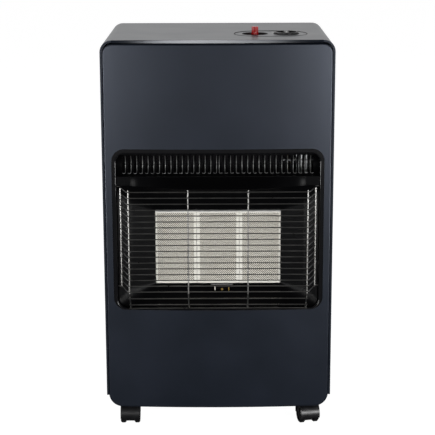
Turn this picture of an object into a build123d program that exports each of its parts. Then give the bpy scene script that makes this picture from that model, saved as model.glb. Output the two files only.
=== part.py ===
"""Gas cabinet heater on casters: a sheet-steel cabinet, a radiant plaque burner and a bottle bay.

Millimetres, +Z up. The origin is on the floor under the middle of the whole heater, the front faces -Y.
Depths are measured from the cabinet wrap's front edge and turned to Y by at().
"""

from build123d import *
from math import cos, radians, sin
import os

os.makedirs("parts", exist_ok=True)

# ---------------------------------------------------------------- driving dimensions
# cabinet
cabinet_width = 420.0
cabinet_height = 730.0
wrap_depth = 325.0
wrap_bottom = 64.0
wrap_corner_radius = 21.0
wrap_hem = 3.6
rear_flange = 14.0
sheet = 1.0
seat_gap = 0.3

# front panel
panel_bottom = 41.0
panel_corner_top = 18.0
panel_corner_bottom = 25.0
panel_bow = 9.5
panel_return = 9.0
panel_edge_radius = 3.0
lip_height = 4.5
lip_crease_depth = 2.0
lip_back = 7.0
panel_seam = 1.6

# window in the front panel
window_margin = 13.1
window_bottom = 232.0
window_top = 534.5
window_radius = 23.0

# enamelled surround
surround_overlap = 9.0
mouth_inset = 8.0
mouth_radius = 16.0
mouth_roll = 3.0
mouth_depth = 24.0
mouth_head = 1.5

# slatted channel above the burner
channel_height = 40.4
channel_depth = 1.0
channel_lip = 2.0
channel_side_count = 40
slot_margin = 10.0
slot_pitch = 10.4
slot_width = 5.6
slot_half_height = 17.0

# deflector hood
hood_inset = 25.0
hood_lip_drop = 15.5
hood_reach = 36.0
hood_side_depth = 0.6
hood_crest_depth = 1.0
hood_back = 1.0

# radiant tiles and burners
tile_width = 79.0
tile_height = 142.5
tile_thickness = 12.0
tile_bottom = 266.7
tile_front_depth = 50.0
tile_gap = 0.4
tile_chamfer = 0.6
frame_wall = 1.0
frame_front_lip = 3.0
frame_overlap = 4.0
burner_depth = 22.0
venturi_radius = 11.0
venturi_wall = 1.2
venturi_bell_radius = 12.0
venturi_bell_height = 8.0
venturi_bottom = 172.0
burner_edge = 1.5
burner_corner = 6.0
burner_press_radius = 1.0
burner_rail_width = 14.0

# reflector pan
pan_front_depth = 10.0
pan_middle_depth = 28.0
pan_back_depth = 48.0
pan_middle_share = 0.38
pan_middle_radius = 22.0
pan_side_lap = 3.2
pan_foot_lap = 3.1

# wire guard
guard_reach = 46.5
wire_radius = 1.0
post_radius = 1.35
guard_top = 463.9
wire_pitch = 10.9
cage_wire_count = 18
guard_return = 16.6
inner_post_x = 54.1
guard_inset = 7.2
guard_root_depth = -2.5
guard_bend_radius = 5.0
post_overrun = 3.0
weld_sink = 0.4
wire_side_count = 6
pipe_side_count = 8
lower_wire_drops = (8.5, 25.0, 34.5)
hook_depth = 7.0
hook_bend = 2.5

# heat shield and base
shield_depth = 86.0
shield_top = 600.0
shield_flange = 12.0
base_floor = 60.0
base_sheet = 1.2
base_lip = 30.0
base_corner_radius = 6.0
stand_height = 3.0
stand_margin = 30.0
stand_side_margin = 4.0
stand_radius = 20.0

# rear cover
cover_bulge = 48.5
cover_side_inset = 14.0
cover_top_inset = 18.0
cover_bottom = 69.0
cover_foot_flange = 4.0
cover_corner_radius = 30.0
cover_edge_radius = 16.0
cover_flange = 9.0
vent_margin = 62.0
vent_length = 62.0
vent_height = 5.0
vent_pitch_x = 84.0
vent_pitch_z = 14.0
vent_column_count = 4
vent_row_count = 3

# control plate, knob and igniter
plate_width = 134.0
plate_length = 100.0
plate_radius = 48.0
plate_side_inset = 111.5
plate_centre_depth = 113.0
plate_rise = 1.0
plate_groove = 1.2
plate_rim = 5.0
control_spacing = 58.0
well_radius = 24.0
well_depth = 13.0
knob_radius = 22.5
knob_rise = 3.5
knob_push = 4.0
button_radius = 6.4
button_rise = 13.0
button_push = 6.0
knob_height = 12.0
knob_crown = 3.0
knob_chamfer = 1.5
knob_bar_width = 7.0
knob_rim = 3.5
knob_hub_radius = 5.8
knob_scoop_depth = 7.0
button_clearance = 0.3
button_edge = 1.2
flute_count = 6
flute_radius = 2.2
flute_depth = 1.5
flute_length = 9.0
spindle_radius = 4.0
spindle_fit = 0.05
spindle_socket = 12.0
washer_thickness = 1.5
washer_radius = 6.6
spring_coil_radius = 5.3
spring_wire = 0.5
knob_spring_turns = 3
igniter_spring_turns = 4
igniter_spring_solid = 4.2
running_gap = 0.08
travel_gap = 0.6

# gas parts
valve_width = 74.0
valve_length = 36.0
valve_height = 30.0
valve_corner = 4.0
valve_drop = 23.7
valve_overhang = 28.0
valve_neck_radius = 7.0
valve_neck = 20.0
inlet_boss_radius = 9.0
inlet_boss_length = 8.0
bracket_length = 40.0
bracket_width = 24.0
bracket_sheet = 1.5
piezo_radius = 9.0
piezo_flange = 3.0
piezo_flange_width = 3.0
piezo_length = 42.0
button_well = 24.0
pipe_radius = 3.0
pilot_pipe_radius = 2.0
thermocouple_radius = 1.2
lead_radius = 1.5
pipe_bend = 12.0
lead_bend = 5.0
pipe_pitch = 9.0
pipe_side_inset = 62.0
pipe_level_pitch = 12.0
pipe_turn_drop = 46.0
lead_turn_drop = 22.0
comb_heights = (300.0, 500.0)
injector_radius = 6.0
injector_stem = 4.0
injector_hex = 8.0
injector_stem_radius = 3.7
nozzle_radius = 1.5
nozzle_gap = 2.0
shelf_height = 150.0
shelf_sheet = 1.5
shelf_rise = 16.0
shelf_front = 4.0
feed_level_drop = 22.0
hose_tail_radius = 4.9
hose_tail_length = 24.0
hose_nut_length = 8.0
hose_nut_radius = 10.0
hose_bore_radius = 3.0

# pilot group, under the middle tile
electrode_x = -6.0
pilot_x = 7.0
thermocouple_x = 20.0
pilot_depth = 42.0
pilot_shelf = 234.0
pilot_shelf_front = 36.0
pilot_plate_depth = 50.0
pilot_margin = 8.0
pilot_slot_length = 11.0
pilot_stem_radius = 3.0
pilot_collar_radius = 5.0
pilot_stem_drop = 12.0
pilot_head_height = 260.5
pilot_head_radius = 2.5
probe_radius = 1.6
probe_rise = 1.0
spark_tip_radius = 0.8
spark_tip_length = 9.0
spark_tip_rise = 3.0
lead_drop = 11.0
lead_setback = 12.0
thermocouple_drop = 18.0
pilot_pipe_drop = 28.0

# casters
caster_side_inset = 42.3
front_caster_depth = 35.0
rear_caster_depth = 290.0
caster_trail = 10.0
wheel_radius = 20.0
wheel_width = 10.0
caster_width = 36.0
wheel_edge = 2.0
wheel_hub_radius = 8.0
wheel_dish = 2.0
web_half_width = 7.5
web_radius = 16.5
fender_gap = 0.8
fender_wall = 1.5
fender_low = 14.0
neck_radius = 9.0
neck_height = 46.7
socket_plate = 50.0
socket_sheet = 2.0
axle_radius = 3.0
stem_radius = 4.0
front_right_swivel = 12.0

# ---------------------------------------------------------------- derived places
overall_depth = guard_reach + wrap_depth + cover_bulge
front_y = guard_reach - overall_depth / 2
half_width = cabinet_width / 2
panel_half_width = half_width - wrap_hem - seat_gap
panel_top = cabinet_height - lip_height - panel_seam
bow_radius = (panel_half_width**2 + panel_bow**2) / (2 * panel_bow)
bow_axis_y = front_y - panel_bow + bow_radius
window_half = panel_half_width - window_margin
mouth_half = window_half - mouth_inset
liner_half = mouth_half - seat_gap
guard_root_x = mouth_half - guard_inset
guard_half_width = guard_root_x - guard_return
hood_half_width = mouth_half - hood_inset
slot_count = int((2 * (liner_half - slot_margin) - slot_width) / slot_pitch) + 1
mouth_bottom = window_bottom + mouth_roll
mouth_top = window_top - mouth_inset - mouth_head
channel_radius = channel_height / 2
channel_middle = mouth_top - seat_gap - sheet - channel_radius
hood_top = channel_middle - channel_radius - sheet - seat_gap
hood_lip = hood_top - hood_lip_drop
tile_top = tile_bottom + tile_height
tile_middle = (tile_bottom + tile_top) / 2
tiles_half = 1.5 * tile_width + tile_gap
tile_back_depth = tile_front_depth + tile_thickness
burner_back_depth = tile_back_depth + seat_gap + burner_depth
burner_middle_depth = tile_back_depth + seat_gap + burner_depth / 2
frame_half = tiles_half + seat_gap + frame_wall
base_half = half_width - sheet - seat_gap
base_top = base_floor + base_sheet
plate_centre_x = half_width - plate_side_inset
knob_x = plate_centre_x + control_spacing / 2
button_x = plate_centre_x - control_spacing / 2
plate_top = cabinet_height - sheet - seat_gap
plate_face = plate_top + plate_rise
well_floor = plate_face - well_depth
plate_underside = well_floor - sheet
knob_top = cabinet_height + knob_rise
button_top = cabinet_height + button_rise
valve_top = plate_underside - valve_drop
valve_underside = valve_top - valve_height
pipe_turn_height = valve_underside - pipe_turn_drop
lead_turn_height = valve_underside - lead_turn_drop
first_pipe_x = half_width - pipe_side_inset
caster_x = half_width - caster_side_inset
tile_columns = {"left": -(tile_width + tile_gap), "centre": 0.0, "right": tile_width + tile_gap}


def at(depth):
    """Y of a place that lies this far behind the wrap's front edge."""
    return front_y + depth


def upright(depth):
    """Upright plane at a depth: its normal faces the front, so extruding by a minus goes back."""
    return Plane.XZ.offset(-at(depth))


def finish(piece, label):
    """Names a finished piece and writes its STEP file."""
    piece.part.label = label
    export_step(piece.part, f"parts/{label}.step")


def rounded_outline(half, low, high, low_radius, high_radius, mode=Mode.ADD):
    """Outline on an upright plane, from low to high, with its own radius at the foot and at the head."""
    with BuildLine(Plane.XY) as outline:
        FilletPolyline(
            (-half, low), (half, low), (half, high), (-half, high),
            radius=[low_radius, low_radius, high_radius, high_radius], close=True,
        )
    make_face(outline.edges(), mode=mode)


def tube(route, radius, bend, sides):
    """Adds a bar of few sides along straight runs joined by tangent arcs, in the open part block."""
    with BuildLine(Plane.XY) as path:
        FilletPolyline(*route, radius=bend)
    with BuildSketch(Plane(origin=path.line @ 0, z_dir=path.line % 0)) as section:
        RegularPolygon(radius, sides)
    sweep(section.sketch, path=path.line)


def bowed_wedge(half, top, bottom, crest_depth, side_depth, reach, back_depth):
    """Sheet formed from a straight crest down to a bowed lower edge, open below, behind and at its ends."""
    with BuildPart() as wedge:
        with BuildSketch(Plane.XY.offset(top)):
            with BuildLine():
                Polyline(
                    (-half, at(crest_depth)), (half, at(crest_depth)),
                    (half, at(back_depth)), (-half, at(back_depth)), close=True,
                )
            make_face()
        with BuildSketch(Plane.XY.offset(bottom)):
            with BuildLine():
                ThreePointArc((-half, at(side_depth)), (0, at(-reach)), (half, at(side_depth)))
                Polyline(
                    (half, at(side_depth)), (half, at(back_depth)),
                    (-half, at(back_depth)), (-half, at(side_depth)),
                )
            make_face()
        loft(ruled=True)
    with BuildPart() as formed:
        add(wedge.part)
        with Locations((0, sheet, -sheet)):
            add(wedge.part, mode=Mode.SUBTRACT)
    return formed.part


# ---------------------------------------------------------------- cabinet wrap
# lip: from the straight crease of the top down to the bowed head of the front panel
lip_half = half_width - wrap_corner_radius
lip_side_depth = bow_axis_y - (bow_radius**2 - lip_half**2) ** 0.5 - front_y
top_lip = bowed_wedge(
    lip_half, cabinet_height, cabinet_height - lip_height,
    lip_crease_depth, lip_side_depth, panel_bow, lip_back,
)

with BuildPart() as cabinet_wrap:
    with BuildSketch(upright(0)):
        rounded_outline(half_width, wrap_bottom, cabinet_height, 0, wrap_corner_radius)
    extrude(amount=-wrap_depth)
    wrap_ends = cabinet_wrap.faces().sort_by(Axis.Y)
    wrap_foot = cabinet_wrap.faces().sort_by(Axis.Z)[:1]
    offset(amount=-sheet, openings=wrap_ends[:1] + wrap_ends[-1:] + wrap_foot)
    # front hem and rear flange, both turned in from the wrap's edges
    for depth, width in ((0.0, wrap_hem), (wrap_depth - sheet, rear_flange)):
        with BuildSketch(upright(depth)):
            rounded_outline(half_width, wrap_bottom, cabinet_height, 0, wrap_corner_radius)
            rounded_outline(
                half_width - width, wrap_bottom - width, cabinet_height - width,
                0, wrap_corner_radius - width, mode=Mode.SUBTRACT,
            )
        extrude(amount=-sheet)
    # the hem and the top stop short where the lip takes over
    with BuildSketch(Plane.XY.offset(cabinet_height)):
        with Locations((0, at(lip_crease_depth / 2))):
            Rectangle(2 * lip_half, lip_crease_depth)
    extrude(amount=-2 * wrap_hem, mode=Mode.SUBTRACT)
    add(top_lip)
    # opening for the control plate
    with BuildSketch(Plane.XY.offset(cabinet_height)):
        with Locations((plate_centre_x, at(plate_centre_depth))):
            RectangleRounded(plate_width, plate_length, plate_radius)
    extrude(amount=-lip_height, mode=Mode.SUBTRACT)
finish(cabinet_wrap, "cabinet_wrap")

# ---------------------------------------------------------------- front panel
with BuildPart() as front_panel:
    with BuildSketch(upright(panel_return)):
        rounded_outline(panel_half_width, panel_bottom, panel_top, panel_corner_bottom, panel_corner_top)
    extrude(amount=panel_return + panel_bow)
    with BuildSketch(Plane.XY):
        with Locations((0, bow_axis_y)):
            Circle(bow_radius)
    extrude(amount=cabinet_height, mode=Mode.INTERSECT)
    fillet(front_panel.faces().sort_by(Axis.Y)[0].edges(), panel_edge_radius)
    offset(amount=-sheet, openings=front_panel.faces().sort_by(Axis.Y)[-1])
    with BuildSketch(upright(panel_return)):
        rounded_outline(window_half, window_bottom, window_top, window_radius, window_radius)
    extrude(amount=panel_return + 2 * panel_bow, mode=Mode.SUBTRACT)
finish(front_panel, "front_panel")

# ---------------------------------------------------------------- base tray
tray_front = panel_return + seat_gap
tray_length = wrap_depth - sheet - seat_gap - tray_front
stand_half = caster_x - socket_plate / 2 - stand_side_margin
stand_front = shield_depth + shield_flange
stand_back = tray_front + tray_length - stand_margin
with BuildPart() as base_tray:
    with BuildSketch(Plane.XY.offset(base_floor)):
        with Locations((0, at(tray_front + tray_length / 2))):
            RectangleRounded(2 * base_half, tray_length, base_corner_radius)
    extrude(amount=base_lip)
    offset(amount=-base_sheet, openings=base_tray.faces().sort_by(Axis.Z)[-1])
    # stand for the bottle, pressed up from the floor
    with BuildSketch(Plane.XY.offset(base_floor)):
        with Locations((0, at((stand_front + stand_back) / 2))):
            RectangleRounded(2 * stand_half, stand_back - stand_front, stand_radius)
    extrude(amount=base_sheet + stand_height)
    with BuildSketch(Plane.XY.offset(base_floor)):
        with Locations((0, at((stand_front + stand_back) / 2))):
            RectangleRounded(
                2 * (stand_half - base_sheet), stand_back - stand_front - 2 * base_sheet,
                stand_radius - base_sheet,
            )
    extrude(amount=stand_height, mode=Mode.SUBTRACT)
finish(base_tray, "base_tray")

# ---------------------------------------------------------------- rear cover
cover_half = half_width - cover_side_inset
cover_top = cabinet_height - cover_top_inset
with BuildPart() as rear_cover:
    with BuildSketch(upright(wrap_depth + seat_gap)):
        rounded_outline(cover_half, cover_bottom, cover_top, cover_corner_radius, cover_corner_radius)
    extrude(amount=-(cover_bulge - seat_gap))
    fillet(rear_cover.faces().sort_by(Axis.Y)[-1].edges(), cover_edge_radius)
    offset(amount=-sheet, openings=rear_cover.faces().sort_by(Axis.Y)[0])
    # flange that lies on the wrap's rear flange
    with BuildSketch(upright(wrap_depth + seat_gap)):
        rounded_outline(
            cover_half + cover_flange, cover_bottom - cover_foot_flange, cover_top + cover_flange,
            cover_corner_radius, cover_corner_radius,
        )
        rounded_outline(
            cover_half - sheet, cover_bottom + sheet, cover_top - sheet,
            cover_corner_radius - sheet, cover_corner_radius - sheet, mode=Mode.SUBTRACT,
        )
    extrude(amount=-sheet)
    # air slots for the bottle bay, low and high
    for row_height in (cover_bottom + vent_margin, cover_top - vent_margin):
        with BuildSketch(upright(wrap_depth + cover_bulge)):
            with Locations((0, row_height)):
                with GridLocations(vent_pitch_x, vent_pitch_z, vent_column_count, vent_row_count):
                    Rectangle(vent_length, vent_height)
        extrude(amount=2 * cover_edge_radius, mode=Mode.SUBTRACT)
finish(rear_cover, "rear_cover")

# ---------------------------------------------------------------- heat shield
with BuildPart() as heat_shield:
    with BuildSketch(Plane.XY.offset(base_top + seat_gap)):
        shield_half = base_half - base_sheet - seat_gap
        with BuildLine():
            Polyline(
                (-shield_half, at(shield_depth + shield_flange)), (-shield_half, at(shield_depth)),
                (shield_half, at(shield_depth)), (shield_half, at(shield_depth + shield_flange)),
                (shield_half - sheet, at(shield_depth + shield_flange)),
                (shield_half - sheet, at(shield_depth + sheet)),
                (-shield_half + sheet, at(shield_depth + sheet)),
                (-shield_half + sheet, at(shield_depth + shield_flange)), close=True,
            )
        make_face()
    extrude(amount=shield_top - base_top - seat_gap)
finish(heat_shield, "heat_shield")

# ---------------------------------------------------------------- enamelled surround
surround_radius = bow_radius - sheet - seat_gap
with BuildPart() as surround_frame:
    with BuildSketch(upright(mouth_depth)):
        rounded_outline(
            window_half + surround_overlap, window_bottom - surround_overlap,
            window_top + surround_overlap, window_radius, window_radius,
        )
    extrude(amount=mouth_depth + panel_bow)
    with BuildSketch(Plane.XY):
        with Locations((0, bow_axis_y)):
            Circle(surround_radius)
            Circle(surround_radius - sheet, mode=Mode.SUBTRACT)
    extrude(amount=cabinet_height, mode=Mode.INTERSECT)
    with BuildSketch(upright(mouth_depth)):
        rounded_outline(
            mouth_half + sheet, mouth_bottom - sheet, mouth_top + sheet,
            mouth_radius + sheet, mouth_radius + sheet,
        )
    extrude(amount=mouth_depth + panel_bow)
    with BuildSketch(Plane.XY):
        with Locations((0, bow_axis_y)):
            Circle(surround_radius)
    extrude(amount=cabinet_height, mode=Mode.INTERSECT)
    with BuildSketch(upright(mouth_depth)):
        rounded_outline(mouth_half, mouth_bottom, mouth_top, mouth_radius, mouth_radius)
    extrude(amount=mouth_depth + 2 * panel_bow, mode=Mode.SUBTRACT)
    # the mouth rolls in from the bowed face, at one thickness of sheet
    bowed_faces = surround_frame.faces().filter_by(GeomType.CYLINDER).sort_by(SortBy.AREA)[-2:]
    fillet(bowed_faces.sort_by(Axis.Y)[-1].inner_wires()[0].edges(), mouth_roll - sheet)
    bowed_faces = surround_frame.faces().filter_by(GeomType.CYLINDER).sort_by(SortBy.AREA)[-2:]
    fillet(bowed_faces.sort_by(Axis.Y)[0].inner_wires()[0].edges(), mouth_roll)
finish(surround_frame, "surround_frame")

# ---------------------------------------------------------------- slatted channel
with BuildPart() as louvre_grille:
    with BuildSketch(Plane.YZ):
        with Locations((at(channel_depth), channel_middle)):
            for radius, mode in ((channel_radius + sheet, Mode.ADD), (channel_radius, Mode.SUBTRACT)):
                RegularPolygon(
                    radius, channel_side_count, major_radius=False,
                    rotation=180 / channel_side_count, mode=mode,
                )
        with Locations((at(channel_depth - channel_radius), channel_middle)):
            Rectangle(2 * channel_radius, 3 * channel_radius, mode=Mode.SUBTRACT)
        for edge_height in (channel_radius + sheet / 2, -channel_radius - sheet / 2):
            with Locations((at(channel_depth - channel_lip / 2), channel_middle + edge_height)):
                Rectangle(channel_lip, sheet)
    extrude(amount=liner_half, both=True)
    # its ends follow the rounded corners of the mouth
    with BuildSketch(upright(2 * channel_radius)):
        Rectangle(3 * liner_half, 3 * mouth_top)
        rounded_outline(
            liner_half, mouth_bottom, mouth_top, mouth_radius, mouth_radius, mode=Mode.SUBTRACT
        )
    extrude(amount=4 * channel_radius, mode=Mode.SUBTRACT)
    with BuildSketch(upright(channel_depth)):
        with Locations((0, channel_middle)):
            with GridLocations(slot_pitch, 1, slot_count, 1):
                Rectangle(slot_width, 2 * slot_half_height)
    extrude(amount=-2 * channel_radius, mode=Mode.SUBTRACT)
finish(louvre_grille, "louvre_grille")

# ---------------------------------------------------------------- deflector hood
hood_sheet = bowed_wedge(
    hood_half_width, hood_top, hood_lip, -hood_crest_depth, -hood_side_depth, hood_reach, hood_back
)
with BuildPart() as deflector_hood:
    add(hood_sheet)
    # apron across the mouth, under the channel
    with BuildSketch(upright(hood_back)):
        with Locations((0, (hood_top + hood_lip) / 2)):
            Rectangle(2 * liner_half, hood_top - hood_lip)
    extrude(amount=-sheet)
finish(deflector_hood, "deflector_hood")

# ---------------------------------------------------------------- reflector pan
pilot_slot_width = thermocouple_x - electrode_x + 2 * pilot_margin
pan_front = (liner_half, mouth_bottom + seat_gap, hood_lip - seat_gap, mouth_radius - seat_gap)
pan_back = (
    frame_half - pan_side_lap + sheet, tile_bottom - seat_gap - frame_wall + pan_foot_lap - sheet,
    tile_top + frame_wall + 2 * seat_gap + sheet, 2 * frame_wall + sheet,
)
pan_middle = tuple(
    near * (1 - pan_middle_share) + far * pan_middle_share for near, far in zip(pan_front[:3], pan_back[:3])
) + (pan_middle_radius,)
pan_sections = ((pan_front_depth, pan_front), (pan_middle_depth, pan_middle), (pan_back_depth, pan_back))


def pan_body(wall):
    """Lofted body of the pan, its sides moved in by a wall."""
    with BuildPart() as body:
        for depth, (half, low, high, radius) in pan_sections:
            with BuildSketch(upright(depth)):
                rounded_outline(half - wall, low + wall, high - wall, radius - wall, radius - wall)
        loft(ruled=True)
    return body.part


pan_outside = pan_body(0.0)
pan_inside = pan_body(sheet)
with BuildPart() as reflector_pan:
    add(pan_outside)
    add(pan_inside, mode=Mode.SUBTRACT)
    # slot for the pilot in the floor
    with BuildSketch(Plane.XY.offset(mouth_bottom)):
        with Locations((pilot_x, at(pilot_depth))):
            Rectangle(pilot_slot_width, pilot_slot_length)
    extrude(amount=tile_middle - mouth_bottom, mode=Mode.SUBTRACT)
finish(reflector_pan, "reflector_pan")

# ---------------------------------------------------------------- wire guard
front_wire_depth = -guard_reach + wire_radius
post_depth = front_wire_depth + wire_radius + post_radius - weld_sink
foot_height = mouth_bottom + post_radius + seat_gap
slope_start = guard_top - (cage_wire_count - 1) * wire_pitch - wire_pitch / 2
slope_end_depth = post_depth + slope_start - foot_height

with BuildPart() as cage_wire:
    tube(
        [
            (-guard_root_x, at(guard_root_depth), guard_top),
            (-guard_half_width - guard_bend_radius / 2, at(front_wire_depth), guard_top),
            (guard_half_width + guard_bend_radius / 2, at(front_wire_depth), guard_top),
            (guard_root_x, at(guard_root_depth), guard_top),
        ],
        wire_radius, guard_bend_radius, wire_side_count,
    )

with BuildPart() as wire_guard:
    with Locations(*[(0, 0, -row * wire_pitch) for row in range(cage_wire_count)]):
        add(cage_wire.part)
    for x in (-guard_half_width, -inner_post_x, inner_post_x, guard_half_width):
        tube(
            [
                (x, at(post_depth), guard_top + post_overrun), (x, at(post_depth), slope_start),
                (x, at(slope_end_depth), foot_height), (x, at(pan_front_depth - travel_gap), foot_height),
            ],
            post_radius, guard_bend_radius, pipe_side_count,
        )
    # three bars welded under the slanted part of the posts
    for drop in lower_wire_drops:
        with BuildSketch(Plane.YZ):
            with Locations((
                at(post_depth + drop) - cos(radians(45)) * (post_radius + wire_radius - weld_sink),
                slope_start - drop - sin(radians(45)) * (post_radius + wire_radius - weld_sink),
            )):
                RegularPolygon(wire_radius, wire_side_count)
        extrude(amount=guard_half_width + 2 * post_radius, both=True)
    # outer posts, hooked behind the rolled mouth
    for side in (-1, 1):
        post_low = guard_top - (cage_wire_count - 1) * wire_pitch - post_overrun
        tube(
            [
                (side * liner_half, at(hook_depth), guard_top),
                (side * guard_root_x, at(hook_depth), guard_top),
                (side * guard_root_x, at(guard_root_depth), guard_top),
                (side * guard_root_x, at(guard_root_depth), post_low),
                (side * guard_root_x, at(hook_depth), post_low),
                (side * liner_half, at(hook_depth), post_low),
            ],
            post_radius, hook_bend, pipe_side_count,
        )
finish(wire_guard, "wire_guard")

# ---------------------------------------------------------------- tiles and their frame
for name, x in tile_columns.items():
    with BuildPart() as tile:
        with BuildSketch(upright(tile_front_depth)):
            with Locations((x, tile_middle)):
                Rectangle(tile_width, tile_height)
        extrude(amount=-tile_thickness)
        chamfer(tile.faces().sort_by(Axis.Y)[0].edges(), tile_chamfer)
    finish(tile, f"ceramic_tile_{name}")

frame_front_depth = tile_front_depth - seat_gap - frame_wall
frame_back_depth = tile_back_depth + frame_overlap
with BuildPart() as tile_frame:
    with BuildSketch(upright(frame_front_depth)):
        with Locations((0, tile_middle)):
            Rectangle(2 * frame_half, tile_height + 2 * seat_gap + 2 * frame_wall)
            Rectangle(2 * (frame_half - frame_wall), tile_height + 2 * seat_gap, mode=Mode.SUBTRACT)
    extrude(amount=-(frame_back_depth - frame_front_depth))
    with BuildSketch(upright(frame_front_depth)):
        with Locations((0, tile_top + seat_gap - frame_front_lip / 2)):
            Rectangle(2 * frame_half - frame_wall, frame_front_lip)
    extrude(amount=-frame_wall)
    # notches in its foot for the mixing tubes
    with BuildSketch(Plane.XY.offset(tile_bottom)):
        with Locations(*[(x, at(burner_middle_depth)) for x in tile_columns.values()]):
            Circle(venturi_radius + seat_gap)
    extrude(amount=-2 * frame_wall, mode=Mode.SUBTRACT)
finish(tile_frame, "tile_frame")

# ---------------------------------------------------------------- burners with their mixing tubes
burner_bottom = tile_bottom + burner_edge
burner_top = tile_top - burner_edge
for name, x in tile_columns.items():
    spine = Plane(origin=(x, at(burner_middle_depth), 0), x_dir=(1, 0, 0), z_dir=(0, -1, 0))
    bore = venturi_radius - venturi_wall
    bell_bore = venturi_bell_radius - venturi_wall
    with BuildPart() as burner:
        with BuildSketch(upright(tile_back_depth + seat_gap)):
            with Locations((x, tile_middle)):
                RectangleRounded(tile_width - seat_gap, burner_top - burner_bottom, burner_corner)
        extrude(amount=-burner_depth)
        fillet(burner.faces().sort_by(Axis.Y)[-1].edges(), burner_press_radius)
        # mixing tube with its bell mouth
        with BuildSketch(spine):
            with BuildLine():
                Polyline(
                    (0, burner_bottom + burner_edge), (0, venturi_bottom),
                    (venturi_bell_radius, venturi_bottom),
                    (venturi_radius, venturi_bottom + venturi_bell_height),
                    (venturi_radius, burner_bottom + burner_edge), close=True,
                )
            make_face()
        revolve(axis=Axis((x, at(burner_middle_depth), 0), (0, 0, 1)))
        # inside of the box, open towards the tile, and of the tube
        with BuildSketch(upright(tile_back_depth + seat_gap)):
            with Locations((x, tile_middle)):
                RectangleRounded(
                    tile_width - seat_gap - 2 * venturi_wall,
                    burner_top - burner_bottom - 2 * venturi_wall, burner_corner - venturi_wall,
                )
        extrude(amount=-(burner_depth - venturi_wall), mode=Mode.SUBTRACT)
        with BuildSketch(spine):
            with BuildLine():
                Polyline(
                    (0, burner_bottom + 2 * burner_edge), (0, venturi_bottom), (bell_bore, venturi_bottom),
                    (bore, venturi_bottom + venturi_bell_height),
                    (bore, burner_bottom + 2 * burner_edge), close=True,
                )
            make_face()
        revolve(axis=Axis((x, at(burner_middle_depth), 0), (0, 0, 1)), mode=Mode.SUBTRACT)
    finish(burner, f"burner_{name}")

with BuildPart() as burner_rails:
    rail_thickness = shield_depth - burner_back_depth - 2 * seat_gap
    for height in (tile_middle - tile_height / 4, tile_middle + tile_height / 4):
        with BuildSketch(upright(burner_back_depth + seat_gap)):
            with Locations((0, height)):
                Rectangle(2 * tiles_half, burner_rail_width)
        extrude(amount=-rail_thickness)
finish(burner_rails, "burner_rails")

# ---------------------------------------------------------------- injectors and their shelf
shelf_edge_depth = burner_middle_depth - injector_radius - shelf_front
shelf_back_depth = shield_depth - seat_gap
with BuildPart() as injector_shelf:
    with BuildSketch(Plane.YZ):
        with BuildLine():
            Polyline(
                (at(shelf_edge_depth), shelf_height), (at(shelf_back_depth), shelf_height),
                (at(shelf_back_depth), shelf_height + shelf_rise),
                (at(shelf_back_depth - shelf_sheet), shelf_height + shelf_rise),
                (at(shelf_back_depth - shelf_sheet), shelf_height + shelf_sheet),
                (at(shelf_edge_depth), shelf_height + shelf_sheet), close=True,
            )
        make_face()
    extrude(amount=tiles_half, both=True)
    with BuildSketch(Plane.XY.offset(shelf_height)):
        with Locations(*[(x, at(burner_middle_depth)) for x in tile_columns.values()]):
            Circle(injector_stem_radius + seat_gap)
    extrude(amount=shelf_sheet, mode=Mode.SUBTRACT)
finish(injector_shelf, "injector_shelf")

for name, x in tile_columns.items():
    with BuildPart() as injector:
        with BuildSketch(Plane(origin=(x, at(burner_middle_depth), 0), x_dir=(1, 0, 0), z_dir=(0, -1, 0))):
            with BuildLine():
                Polyline(
                    (0, shelf_height - injector_stem), (injector_stem_radius, shelf_height - injector_stem),
                    (injector_stem_radius, shelf_height + shelf_sheet + seat_gap),
                    (injector_radius, shelf_height + shelf_sheet + seat_gap),
                    (injector_radius, shelf_height + shelf_sheet + injector_hex),
                    (pipe_radius, shelf_height + shelf_sheet + injector_hex),
                    (nozzle_radius, venturi_bottom - nozzle_gap),
                    (0, venturi_bottom - nozzle_gap), close=True,
                )
            make_face()
        revolve(axis=Axis((x, at(burner_middle_depth), 0), (0, 0, 1)))
    finish(injector, f"injector_{name}")

# ---------------------------------------------------------------- gas valve
valve_left = knob_x - valve_overhang
with BuildPart() as gas_valve:
    with BuildSketch(Plane.XY.offset(valve_underside)):
        with Locations((valve_left + valve_width / 2, at(plate_centre_depth))):
            RectangleRounded(valve_width, valve_length, valve_corner)
    extrude(amount=valve_height)
    with BuildSketch(Plane.XY.offset(valve_top)):
        with Locations((knob_x, at(plate_centre_depth))):
            Circle(valve_neck_radius)
    extrude(amount=valve_neck)
    with BuildSketch(Plane.XY.offset(valve_top + valve_neck)):
        with Locations((knob_x, at(plate_centre_depth))):
            Circle(spindle_radius + running_gap)
    extrude(amount=-spindle_socket, mode=Mode.SUBTRACT)
    # inlet boss for the hose tail, at the back
    with BuildSketch(upright(plate_centre_depth + valve_length / 2)):
        with Locations((knob_x, (valve_top + valve_underside) / 2)):
            Circle(inlet_boss_radius)
    extrude(amount=-inlet_boss_length)
finish(gas_valve, "gas_valve")

hose_start = plate_centre_depth + valve_length / 2 + inlet_boss_length
with BuildPart() as hose_tail:
    with BuildSketch(upright(hose_start)):
        with Locations((knob_x, (valve_top + valve_underside) / 2)):
            RegularPolygon(hose_nut_radius, 6)
    extrude(amount=-hose_nut_length)
    with BuildSketch(upright(hose_start + hose_nut_length)):
        with Locations((knob_x, (valve_top + valve_underside) / 2)):
            Circle(hose_tail_radius)
    extrude(amount=-hose_tail_length)
    with BuildSketch(upright(hose_start + hose_nut_length + hose_tail_length)):
        with Locations((knob_x, (valve_top + valve_underside) / 2)):
            Circle(hose_bore_radius)
    extrude(amount=hose_tail_length, mode=Mode.SUBTRACT)
finish(hose_tail, "hose_tail")

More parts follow.
